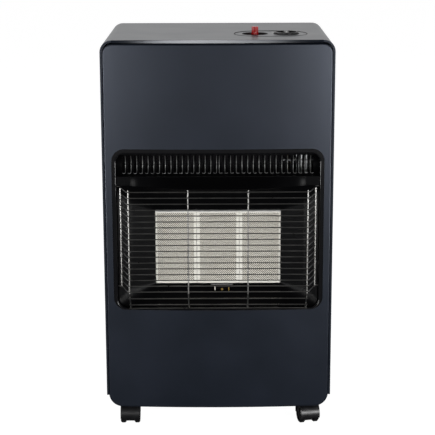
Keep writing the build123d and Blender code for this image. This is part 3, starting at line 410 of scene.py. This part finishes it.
@dataclass(frozen=True)
class PlaqueCeramic:
    """Pressed fibre-ceramic burner plaque: matt, chalky, pierced by fine holes inside a plain margin."""

    name: str
    centre: tuple[float, float, float]
    half_width: float
    half_height: float
    margin: float = 5.4
    pitch: float = 2.7
    row_turn: float = 45.0
    unevenness: float = 0.12
    hole_share: float = 0.30
    hole_edge: float = 0.14
    hole_depth: float = 0.4
    hole_strength: float = 0.5
    mottle: float = 9.0
    roughness: float = 0.92
    specular: float = 0.25
    colour: str = "#d2d0c8"
    land: str = "#c6c2b6"
    # colour of the holes: painted shade inside them
    hole_shade: str = "#57524a"

    def material(self) -> bpy.types.Material:
        """Builds the material: a grid of holes, drawn coarser than the real 1.2 mm ones so that it shows,
        each darkened with painted shade.

        Returns:
            The new material.
        """
        material, tree, shader = start_material(self.name)
        place = add_node(tree, "ShaderNodeTexCoord").outputs["Object"]
        centred = add_node(
            tree,
            "ShaderNodeMapping",
            {"Location": tuple(-c * MM for c in self.centre)},
            {"Vector": place},
        )
        axes = add_node(tree, "ShaderNodeSeparateXYZ", links={"Vector": centred.outputs["Vector"]})
        flat = add_node(
            tree, "ShaderNodeCombineXYZ", links={"X": axes.outputs["X"], "Y": axes.outputs["Z"]}
        )
        turned = add_node(
            tree,
            "ShaderNodeMapping",
            {"Rotation": (0.0, 0.0, math.radians(self.row_turn))},
            {"Vector": flat.outputs["Vector"]},
        )
        grid = add_node(
            tree,
            "ShaderNodeTexVoronoi",
            {"voronoi_dimensions": "2D", "Scale": per_metre(self.pitch), "Randomness": self.unevenness},
            {"Vector": turned.outputs["Vector"]},
        )
        pierced = add_node(
            tree,
            "ShaderNodeMapRange",
            {
                "From Min": self.hole_share,
                "From Max": self.hole_share + self.hole_edge,
                "To Min": 1.0,
                "To Max": 0.0,
            },
            {"Value": grid.outputs["Distance"]},
        )
        inside = []
        for axis, half in (("X", self.half_width), ("Z", self.half_height)):
            away = add_node(
                tree, "ShaderNodeMath", {"operation": "ABSOLUTE"}, {0: axes.outputs[axis]}
            )
            inside.append(
                add_node(
                    tree,
                    "ShaderNodeMath",
                    {"operation": "LESS_THAN", 1: (half - self.margin) * MM},
                    {0: away.outputs[0]},
                )
            )
        field = add_node(
            tree,
            "ShaderNodeMath",
            {"operation": "MULTIPLY"},
            {0: inside[0].outputs[0], 1: inside[1].outputs[0]},
        )
        holes = add_node(
            tree,
            "ShaderNodeMath",
            {"operation": "MULTIPLY"},
            {0: field.outputs[0], 1: pierced.outputs["Result"]},
        )
        mottle = add_node(
            tree, "ShaderNodeTexNoise", {"Scale": per_metre(self.mottle), "Detail": 4.0}, {"Vector": place}
        )
        land_tone = add_node(
            tree,
            "ShaderNodeMix",
            {"data_type": "RGBA", 6: linear(self.land), 7: linear(self.colour)},
            {0: mottle.outputs["Fac"]},
        )
        tone = add_node(
            tree,
            "ShaderNodeMix",
            {"data_type": "RGBA", 6: linear(self.colour)},
            {0: field.outputs[0], 7: land_tone.outputs[2]},
        )
        # painted shade: the holes take the darker colour
        hole_shaded_tone = add_node(
            tree,
            "ShaderNodeMix",
            {"data_type": "RGBA", 7: linear(self.hole_shade)},
            {0: holes.outputs[0], 6: tone.outputs[2]},
        )
        height = add_node(
            tree,
            "ShaderNodeMath",
            {"operation": "MULTIPLY_ADD", 1: -1.0},
            {0: holes.outputs[0], 2: mottle.outputs["Fac"]},
        )
        bump = add_node(
            tree,
            "ShaderNodeBump",
            {"Strength": self.hole_strength, "Distance": self.hole_depth * MM},
            {"Height": height.outputs[0]},
        )
        shader.inputs["Roughness"].default_value = self.roughness
        shader.inputs["Specular IOR Level"].default_value = self.specular
        tree.links.new(hole_shaded_tone.outputs[2], shader.inputs["Base Color"])
        tree.links.new(bump.outputs["Normal"], shader.inputs["Normal"])
        return material


class Grain(Enum):
    """Surface of a moulding tool: grain size in millimetres and bump height in millimetres."""

    POLISHED = (6.0, 0.01)
    SPARKED = (0.9, 0.05)
    RUBBERY = (1.6, 0.03)


@dataclass(frozen=True)
class Moulding:
    """Injection-moulded plastic or silicone: one even colour, its gloss set by the tool's surface."""

    name: str
    colour: str
    scuffed: str
    roughness: float
    grain: Grain
    grain_strength: float = 0.4
    scuff: float = 12.0
    tone_range: tuple[float, float] = (0.45, 0.85)
    glossier: float = 0.05
    duller: float = 0.10
    smoothest: float = 0.04

    def material(self) -> bpy.types.Material:
        """Builds the material: tool grain in the bump and scuffs in tone and gloss.

        Returns:
            The new material.
        """
        material, tree, shader = start_material(self.name)
        size, height = self.grain.value
        place = add_node(tree, "ShaderNodeTexCoord").outputs["Object"]
        grain = add_node(
            tree, "ShaderNodeTexNoise", {"Scale": per_metre(size), "Detail": 2.0}, {"Vector": place}
        )
        scuffs = add_node(
            tree, "ShaderNodeTexNoise", {"Scale": per_metre(self.scuff), "Detail": 6.0}, {"Vector": place}
        )
        tone = add_node(
            tree,
            "ShaderNodeValToRGB",
            links={"Fac": scuffs.outputs["Fac"]},
            stops=list(zip(self.tone_range, (linear(self.colour), linear(self.scuffed)))),
        )
        gloss = add_node(
            tree,
            "ShaderNodeMapRange",
            {
                "To Min": max(self.roughness - self.glossier, self.smoothest),
                "To Max": self.roughness + self.duller,
            },
            {"Value": scuffs.outputs["Fac"]},
        )
        bump = add_node(
            tree,
            "ShaderNodeBump",
            {"Strength": self.grain_strength, "Distance": height * MM},
            {"Height": grain.outputs["Fac"]},
        )
        tree.links.new(tone.outputs["Color"], shader.inputs["Base Color"])
        tree.links.new(gloss.outputs["Result"], shader.inputs["Roughness"])
        tree.links.new(bump.outputs["Normal"], shader.inputs["Normal"])
        return material


@dataclass(frozen=True)
class Finishes:
    """Every finish that pieces of the heater share, made once. The plaques have their own."""

    coat: bpy.types.Material
    enamel: bpy.types.Material
    wire: bpy.types.Material
    sheet_steel: bpy.types.Material
    aluminised: bpy.types.Material
    brass: bpy.types.Material
    cast: bpy.types.Material
    pipe: bpy.types.Material
    spring: bpy.types.Material
    zinc: bpy.types.Material
    knob: bpy.types.Material
    red: bpy.types.Material
    caster: bpy.types.Material
    glaze: bpy.types.Material
    dulled_enamel: bpy.types.Material
    blackened: bpy.types.Material
    lead: bpy.types.Material
    print_white: bpy.types.Material

    @classmethod
    def mixed(cls) -> "Finishes":
        """Makes all the materials.

        Returns:
            The finishes, by what they are used for.
        """
        # use, name, colour, shade, roughness, how it was worked, grain in millimetres
        metals = (
            ("wire", "nickel_wire", "#8c8b89", "#7c7b79", 0.30, MetalWork.PLATED, 14.0),
            ("sheet_steel", "rolled_steel", "#a5a6a8", "#87888b", 0.38, MetalWork.ROLLED, 0.8),
            ("aluminised", "aluminised_steel", "#b9bab9", "#9a9b9b", 0.42, MetalWork.PLATED, 4.0),
            ("brass", "turned_brass", "#c9a860", "#a98a45", 0.26, MetalWork.MACHINED, 0.7),
            ("cast", "die_cast_aluminium", "#a9abae", "#8d8f92", 0.48, MetalWork.CAST, 1.1),
            ("pipe", "drawn_aluminium_tube", "#bfc0c2", "#a3a4a7", 0.30, MetalWork.DRAWN, 1.0),
            ("spring", "spring_wire", "#8d8e92", "#6f7074", 0.30, MetalWork.DRAWN, 0.6),
            ("zinc", "zinc_plate", "#b6b9bd", "#9698a0", 0.32, MetalWork.PLATED, 2.5),
            ("blackened", "heat_blackened_steel", "#242325", "#161517", 0.45, MetalWork.ROLLED, 0.8),
        )
        # use, name, colour, colour of its scuffs, roughness, surface of the tool
        mouldings = (
            ("knob", "abs_black_sparked", "#101012", "#1b1b1d", 0.42, Grain.SPARKED),
            ("red", "abs_red_polished", "#b3191a", "#8f1414", 0.22, Grain.POLISHED),
            ("caster", "nylon_black", "#08080a", "#131315", 0.30, Grain.POLISHED),
            ("glaze", "glazed_steatite", "#e9e6dd", "#d8d3c6", 0.16, Grain.POLISHED),
            ("lead", "silicone_lead", "#1a1a1b", "#262627", 0.55, Grain.RUBBERY),
            ("print_white", "pad_print_white", "#e4e4e2", "#cfcfcc", 0.45, Grain.RUBBERY),
        )
        return cls(
            coat=PowderCoat().material(),
            enamel=VitreousEnamel().material(),
            dulled_enamel=VitreousEnamel("vitreous_enamel_heat_dulled", "#060607", 0.30, 0.06).material(),
            **{use: BareMetal(*recipe).material() for use, *recipe in metals},
            **{use: Moulding(*recipe).material() for use, *recipe in mouldings},
        )


# ---------------------------------------------------------------- sub-assemblies
@dataclass
class Cabinet:
    """Powder-coated wrap, front panel, base tray and rear cover, with the heat-blackened shield inside."""

    finishes: Finishes

    def build(self) -> None:
        """Dresses the sheet parts."""
        dress(self.finishes.coat, "cabinet_wrap", "front_panel", "base_tray", "rear_cover")
        dress(self.finishes.blackened, "heat_shield")


@dataclass
class BurnerWindow:
    """Enamelled window: surround, slatted channel, hood and reflector pan, and the plated wire cage."""

    finishes: Finishes
    slot_count: int = 34
    slot_pitch: float = 10.4
    slot_half_width: float = 2.8
    slot_half_angle: float = 57.3
    channel_radius: float = 20.2
    channel_y: float = -162.5
    channel_z: float = 503.5
    lip_radius: float = 0.6
    lip_steps: int = 12
    hook_turn: float = 150.0
    hook_steps: int = 5

    def build(self) -> None:
        """Dresses the window's pieces and adds the turned lips of the channel's slots, bright as painted
        highlight.
        """
        dress(self.finishes.enamel, "surround_frame")
        dress(self.finishes.dulled_enamel, "louvre_grille", "deflector_hood", "reflector_pan")
        dress(self.finishes.wire, "wire_guard")
        # the lips' bright metal is painted highlight along the slots' enamelled edges
        mesh("slot_lip_highlights", "cabinet", self.finishes.aluminised, self._slot_lip_highlights)

    def _slot_lip_highlights(self, work: bmesh.types.BMesh) -> None:
        """Turned lip down the inner side and round the foot of every slot, in bright metal as painted
        highlight.

        Args:
            work: the bmesh, in millimetres.
        """
        foot_angle = self.slot_half_width / self.channel_radius
        straight_end = math.radians(self.slot_half_angle) - foot_angle
        for index in range(self.slot_count):
            middle = (index - (self.slot_count - 1) / 2) * self.slot_pitch
            inward = -math.copysign(self.slot_half_width, middle)
            path = [
                self._on_channel(middle + inward, straight_end * (1 - 2 * step / self.lip_steps))
                for step in range(self.lip_steps + 1)
            ]
            for step in range(1, self.hook_steps + 1):
                turn = math.radians(self.hook_turn) * step / self.hook_steps
                lean = -straight_end - math.sin(turn) * foot_angle
                path.append(self._on_channel(middle + inward * math.cos(turn), lean))
            bead(work, path, self.lip_radius)

    def _on_channel(self, x: float, lean: float) -> Vector:
        """Point on the channel's inner face.

        Args:
            x: how far across it is.
            lean: angle above the channel's middle, in radians.

        Returns:
            The point, in millimetres.
        """
        return Vector(
            (
                x,
                self.channel_y + self.channel_radius * math.cos(lean),
                self.channel_z + self.channel_radius * math.sin(lean),
            )
        )


@dataclass
class RadiantBurner:
    """Three pierced plaques in their frame, the burner boxes behind them and the pilot group below."""

    finishes: Finishes
    tile_width: float = 79.0
    tile_gap: float = 0.4
    tile_bottom: float = 266.7
    tile_height: float = 142.5

    def build(self) -> None:
        """Dresses the plaques, each with its own centred pattern, and what carries them."""
        middle = self.tile_bottom + self.tile_height / 2
        for name, side in (("left", -1), ("centre", 0), ("right", 1)):
            plaque = PlaqueCeramic(
                name=f"plaque_ceramic_{name}",
                centre=(side * (self.tile_width + self.tile_gap), 0.0, middle),
                half_width=self.tile_width / 2,
                half_height=self.tile_height / 2,
            )
            dress(plaque.material(), f"ceramic_tile_{name}")
            dress(self.finishes.aluminised, f"burner_{name}")
            dress(self.finishes.brass, f"injector_{name}")
        dress(self.finishes.aluminised, "tile_frame")
        dress(self.finishes.sheet_steel, "burner_rails", "injector_shelf", "pipe_combs")
        dress(self.finishes.blackened, "pilot_bracket")
        dress(self.finishes.brass, "pilot_burner", "thermocouple")
        dress(self.finishes.glaze, "spark_electrode")
        dress(self.finishes.lead, "ignition_lead")
        dress(self.finishes.pipe, "feed_pipe_left", "feed_pipe_centre", "feed_pipe_right", "pilot_pipe")


@dataclass
class CoilSpring:
    """Compression spring: round wire wound between two levels."""

    node: str
    joint: str
    place: tuple[float, float]
    span: tuple[float, float]
    coil_radius: float
    turns: int
    travel: float
    wire_radius: float = 0.45
    steps_a_turn: int = 32

    def build(self, finish: bpy.types.Material) -> None:
        """Adds the coil in place of its CAD node.

        Args:
            finish: the wire's material.
        """
        coil = mesh(f"{self.node}_coil", "cabinet", finish, self._coil)
        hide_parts(self.node)
        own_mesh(coil)

    def _coil(self, work: bmesh.types.BMesh) -> None:
        """Round wire along a helix.

        Args:
            work: the bmesh, in millimetres.
        """
        steps = self.turns * self.steps_a_turn
        low, high = self.span
        rise = high - low - 2 * self.wire_radius
        path = []
        for step in range(steps + 1):
            height = low + self.wire_radius + rise * step / steps
            turn = 2 * math.pi * step / self.steps_a_turn
            path.append(on_circle(*self.place, height, self.coil_radius, turn))
        bead(work, path, self.wire_radius)


@dataclass
class Controls:
    """Control plate with its two wells, the gas knob, the igniter button and what is under them."""

    finishes: Finishes
    knob_x: float = 127.5
    control_y: float = -50.5
    plate_level: float = 729.7
    knob_top: float = 733.5
    bar_top_length: float = 26.0
    pointer_width: float = 1.2
    print_thickness: float = 0.06
    print_lift: float = 0.02
    dot_circle: float = 29.0
    dot_radius: float = 1.3
    dot_first_share: float = 0.6
    dot_growth: float = 0.2
    dot_segments: int = 16
    dot_angles: tuple[float, ...] = (60.0, 120.0, 180.0, 240.0)
    button_x: float = 69.5
    well_radius: float = 23.85
    well_floor: float = 717.0
    liner_rim: float = 0.5
    circle_steps: int = 48
    plate_x: float = 98.5
    # dark bead round the plate: painted shade of the gap at its edge
    gap_shade_half_width: float = 67.6
    gap_shade_half_length: float = 50.6
    gap_shade_corner: float = 48.6
    gap_shade_radius: float = 1.1
    gap_shade_level: float = 729.5
    corner_steps: int = 14

    def build(self) -> None:
        """Dresses the controls, adds springs, printed marks, liners and a painted-shade bead round the
        plate.
        """
        dress(self.finishes.coat, "control_plate")
        dress(self.finishes.knob, "control_knob", "piezo_igniter")
        dress(self.finishes.red, "igniter_button")
        dress(self.finishes.brass, "valve_spindle", "hose_tail")
        dress(self.finishes.cast, "gas_valve")
        dress(self.finishes.sheet_steel, "valve_bracket", "spring_washer")
        knob_place = (self.knob_x, self.control_y)
        button_place = (self.button_x, self.control_y)
        for spring in (
            CoilSpring("knob_spring", "knob_push", knob_place, (712.3, 719.4), 5.3, 3, travel=4.0),
            CoilSpring("igniter_spring", "igniter_push", button_place, (691.7, 701.9), 5.4, 4, travel=6.0),
        ):
            spring.build(self.finishes.spring)
        mesh("knob_pointer", "knob", self.finishes.print_white, self._pointer)
        mesh("dial_marks", "cabinet", self.finishes.print_white, self._dots)
        mesh("well_liners", "cabinet", self.finishes.lead, self._liners)
        # the dark bead is painted shade for the gap round the plate
        mesh("plate_gap_shade", "cabinet", self.finishes.lead, self._gap_shade)

    def _liners(self, work: bmesh.types.BMesh) -> None:
        """Dark liner with a rolled rim inside each well of the plate.

        Args:
            work: the bmesh, in millimetres.
        """
        for x in (self.button_x, self.knob_x):
            wall = bmesh.ops.create_cone(
                work,
                cap_ends=False,
                segments=self.circle_steps,
                radius1=self.well_radius,
                radius2=self.well_radius,
                depth=self.plate_level - self.well_floor,
            )["verts"]
            middle = (self.plate_level + self.well_floor) / 2
            bmesh.ops.translate(work, vec=(x, self.control_y, middle), verts=wall)
            rim = []
            for step in range(self.circle_steps + 1):
                turn = 2 * math.pi * step / self.circle_steps
                rim.append(on_circle(x, self.control_y, self.plate_level, self.well_radius, turn))
            bead(work, rim, self.liner_rim)

    def _gap_shade(self, work: bmesh.types.BMesh) -> None:
        """Dark bead in the gap between the plate and the cabinet's top, painted shade of that gap.

        Args:
            work: the bmesh, in millimetres.
        """
        path = []
        for quarter, (side_x, side_y) in enumerate(((1, 1), (-1, 1), (-1, -1), (1, -1))):
            x = self.plate_x + side_x * (self.gap_shade_half_width - self.gap_shade_corner)
            y = self.control_y + side_y * (self.gap_shade_half_length - self.gap_shade_corner)
            for step in range(self.corner_steps + 1):
                turn = math.pi / 2 * (quarter + step / self.corner_steps)
                path.append(on_circle(x, y, self.gap_shade_level, self.gap_shade_corner, turn))
        path.append(path[0])
        bead(work, path, self.gap_shade_radius)

    def _pointer(self, work: bmesh.types.BMesh) -> None:
        """White line printed along the front half of the knob's finger bar.

        Args:
            work: the bmesh, in millimetres.
        """
        line = bmesh.ops.create_cube(work, size=1.0)["verts"]
        bmesh.ops.scale(
            work, vec=(self.pointer_width, self.bar_top_length / 2, self.print_thickness), verts=line
        )
        bmesh.ops.translate(
            work,
            vec=(self.knob_x, self.control_y - self.bar_top_length / 4, self.knob_top + self.print_lift),
            verts=line,
        )

    def _dots(self, work: bmesh.types.BMesh) -> None:
        """Printed dots round the knob for the heat settings, each larger than the one before.

        The angles are clockwise from the knob's front.

        Args:
            work: the bmesh, in millimetres.
        """
        front = 270.0
        level = self.plate_level + self.print_lift
        for index, angle in enumerate(self.dot_angles):
            turn = math.radians(front - angle)
            radius = self.dot_radius * (self.dot_first_share + self.dot_growth * index)
            dot = bmesh.ops.create_cone(
                work,
                cap_ends=True,
                segments=self.dot_segments,
                radius1=radius,
                radius2=radius,
                depth=self.print_thickness,
            )["verts"]
            place = on_circle(self.knob_x, self.control_y, level, self.dot_circle, turn)
            bmesh.ops.translate(work, vec=place, verts=dot)


@dataclass
class Casters:
    """Four hooded twin-wheel casters: plated sockets and axles, black nylon hoods and wheels."""

    finishes: Finishes
    corners: tuple[str, ...] = ("front_left", "front_right", "rear_left", "rear_right")

    def build(self) -> None:
        """Dresses all four casters."""
        for corner in self.corners:
            dress(self.finishes.zinc, f"caster_socket_{corner}", f"caster_axle_{corner}")
            dress(self.finishes.caster, f"caster_hood_{corner}", f"caster_wheels_{corner}")


# ---------------------------------------------------------------- studio
@dataclass
class SoftBox:
    """A rectangular studio lamp with an even face."""

    name: str
    place: tuple[float, float, float]
    target: tuple[float, float, float]
    size: tuple[float, float]
    watts: float

    def build(self) -> None:
        """Adds the lamp, turned to its target. Its sizes are metres."""
        data = bpy.data.lights.new(self.name, "AREA")
        data.shape = "RECTANGLE"
        data.size, data.size_y = self.size
        data.energy = self.watts
        lamp = bpy.data.objects.new(self.name, data)
        bpy.context.scene.collection.objects.link(lamp)
        lamp.location = self.place
        aim = Vector(self.target) - Vector(self.place)
        lamp.rotation_euler = aim.to_track_quat("-Z", "Y").to_euler()


@dataclass
class Studio:
    """White sweep, soft lamps and the camera. Its lengths are metres, apart from the camera's place."""

    floor_half: float = 30.0
    floor_colour: str = "#707070"
    floor_roughness: float = 0.6
    white_share: float = 0.95
    sweep_start: float = 0.6
    room_dim: float = 0.08
    backdrop: float = 0.76
    backdrop_top: float = 0.80
    backdrop_blur: float = 0.2
    backdrop_sides: tuple[float, float] = (-0.60, 0.10)
    clip: tuple[float, float] = (0.05, 200.0)
    focal_share: float = 3.19936
    sensor: float = 36.0
    camera_place: tuple[float, float, float] = (-2.720, -2638.33, 993.106)
    pitch: float = 13.3307
    yaw: float = 0.04026
    roll: float = -0.17043

    def build(self) -> None:
        """Sets up the world, the floor, the lamps and the camera."""
        self._world()
        self._floor()
        for lamp in (
            SoftBox("lamp_left", (-1.9, -2.9, 0.62), (0.0, 0.0, 0.45), (1.8, 1.1), 58.0),
            SoftBox("lamp_right", (1.9, -2.9, 0.62), (0.0, 0.0, 0.45), (1.8, 1.1), 80.0),
            SoftBox("lamp_front", (0.0, -3.4, 0.33), (0.0, 0.0, 0.45), (3.0, 0.5), 5.0),
            SoftBox("rim_left", (-1.4, -0.9, 0.18), (0.0, -0.16, 0.18), (0.4, 0.2), 7.0),
            SoftBox("rim_right", (1.4, -0.9, 0.18), (0.0, -0.16, 0.18), (0.4, 0.2), 7.0),
            SoftBox("lamp_top", (-0.4, 1.0, 2.4), (0.0, 0.0, 0.4), (1.2, 0.8), 20.0),
        ):
            lamp.build()
        self._camera()
        bpy.context.scene.view_settings.view_transform = "Standard"

    def _world(self) -> None:
        """The camera and glass see white; gloss and light see a white sweep behind and a dim room."""
        world = bpy.data.worlds.new("studio_white")
        world.use_nodes = True
        tree = world.node_tree
        tree.nodes.clear()
        seen = direct_ray(tree, add_node(tree, "ShaderNodeLightPath"))
        way = add_node(tree, "ShaderNodeTexCoord").outputs["Generated"]
        axes = add_node(tree, "ShaderNodeSeparateXYZ", links={"Vector": way})
        behind = add_node(
            tree,
            "ShaderNodeMapRange",
            {
                "interpolation_type": "SMOOTHSTEP",
                "From Min": self.backdrop_sides[0],
                "From Max": self.backdrop_sides[1],
            },
            {"Value": axes.outputs["Y"]},
        )
        below_edge = add_node(
            tree,
            "ShaderNodeMapRange",
            {
                "interpolation_type": "SMOOTHSTEP",
                "From Min": self.backdrop_top - self.backdrop_blur,
                "From Max": self.backdrop_top + self.backdrop_blur,
                "To Min": 1.0,
                "To Max": 0.0,
            },
            {"Value": axes.outputs["Z"]},
        )
        sweep = add_node(
            tree,
            "ShaderNodeMath",
            {"operation": "MULTIPLY"},
            {0: behind.outputs["Result"], 1: below_edge.outputs["Result"]},
        )
        room = add_node(
            tree,
            "ShaderNodeMapRange",
            {"To Min": self.room_dim, "To Max": self.backdrop},
            {"Value": sweep.outputs[0]},
        )
        strength = add_node(
            tree,
            "ShaderNodeMapRange",
            {"To Max": 1.0},
            {"Value": seen, "To Min": room.outputs["Result"]},
        )
        sky = add_node(
            tree,
            "ShaderNodeBackground",
            {"Color": (1.0, 1.0, 1.0, 1.0)},
            {"Strength": strength.outputs["Result"]},
        )
        add_node(tree, "ShaderNodeOutputWorld", links={"Surface": sky.outputs["Background"]})
        bpy.context.scene.world = world

    def _floor(self) -> None:
        """Plain floor, white to the camera, that keeps the heater's shadow."""
        material = bpy.data.materials.new("studio_floor")
        material.use_nodes = True
        tree = material.node_tree
        tree.nodes.clear()
        paper = add_node(
            tree,
            "ShaderNodeBsdfDiffuse",
            {"Color": linear(self.floor_colour), "Roughness": self.floor_roughness},
        )
        glow = add_node(
            tree, "ShaderNodeEmission", {"Color": (1.0, 1.0, 1.0, 1.0), "Strength": self.white_share}
        )
        path = add_node(tree, "ShaderNodeLightPath")
        plan = add_node(
            tree,
            "ShaderNodeSeparateXYZ",
            links={"Vector": add_node(tree, "ShaderNodeTexCoord").outputs["Object"]},
        )
        behind = add_node(
            tree,
            "ShaderNodeMapRange",
            {"interpolation_type": "SMOOTHSTEP", "From Min": 0.0, "From Max": self.sweep_start},
            {"Value": plan.outputs["Y"]},
        )
        mirrored = add_node(
            tree,
            "ShaderNodeMath",
            {"operation": "MULTIPLY"},
            {0: path.outputs["Is Glossy Ray"], 1: behind.outputs["Result"]},
        )
        seen = add_node(
            tree,
            "ShaderNodeMath",
            {"operation": "MAXIMUM"},
            {0: direct_ray(tree, path), 1: mirrored.outputs[0]},
        )
        both = add_node(
            tree, "ShaderNodeAddShader", links={0: paper.outputs["BSDF"], 1: glow.outputs["Emission"]}
        )
        surface = add_node(
            tree,
            "ShaderNodeMixShader",
            links={0: seen.outputs[0], 1: paper.outputs["BSDF"], 2: both.outputs["Shader"]},
        )
        add_node(tree, "ShaderNodeOutputMaterial", links={"Surface": surface.outputs["Shader"]})
        work = bmesh.new()
        bmesh.ops.create_grid(work, x_segments=2, y_segments=2, size=self.floor_half)
        data = bpy.data.meshes.new("studio_floor")
        work.to_mesh(data)
        work.free()
        data.materials.append(material)
        floor = bpy.data.objects.new("studio_floor", data)
        bpy.context.scene.collection.objects.link(floor)

    def _camera(self) -> None:
        """Camera a little above the heater's top, looking down at its front."""
        data = bpy.data.cameras.new("camera")
        data.sensor_width = self.sensor
        data.lens = self.focal_share * self.sensor
        data.clip_start, data.clip_end = self.clip
        camera = bpy.data.objects.new("camera", data)
        bpy.context.scene.collection.objects.link(camera)
        pitch, yaw, roll = (math.radians(a) for a in (self.pitch, self.yaw, self.roll))
        ahead = Vector((math.sin(yaw) * math.cos(pitch), math.cos(yaw) * math.cos(pitch), -math.sin(pitch)))
        level = Vector((math.cos(yaw), -math.sin(yaw), 0.0))
        above = level.cross(ahead)
        right = level * math.cos(roll) + above * math.sin(roll)
        up = above * math.cos(roll) - level * math.sin(roll)
        turn = Matrix((right, up, -ahead)).transposed().to_4x4()
        camera.matrix_world = Matrix.Translation(Vector(self.camera_place) * MM) @ turn
        bpy.context.scene.camera = camera


def main() -> None:
    """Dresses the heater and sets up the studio."""
    logging.basicConfig(level=logging.INFO, format="%(name)s: %(message)s")
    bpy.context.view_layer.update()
    finishes = Finishes.mixed()
    for assembly in (
        Cabinet(finishes),
        BurnerWindow(finishes),
        RadiantBurner(finishes),
        Controls(finishes),
        Casters(finishes),
        Studio(),
    ):
        assembly.build()
        LOG.info("finished %s", type(assembly).__name__)


if __name__ == "__main__":
    main()
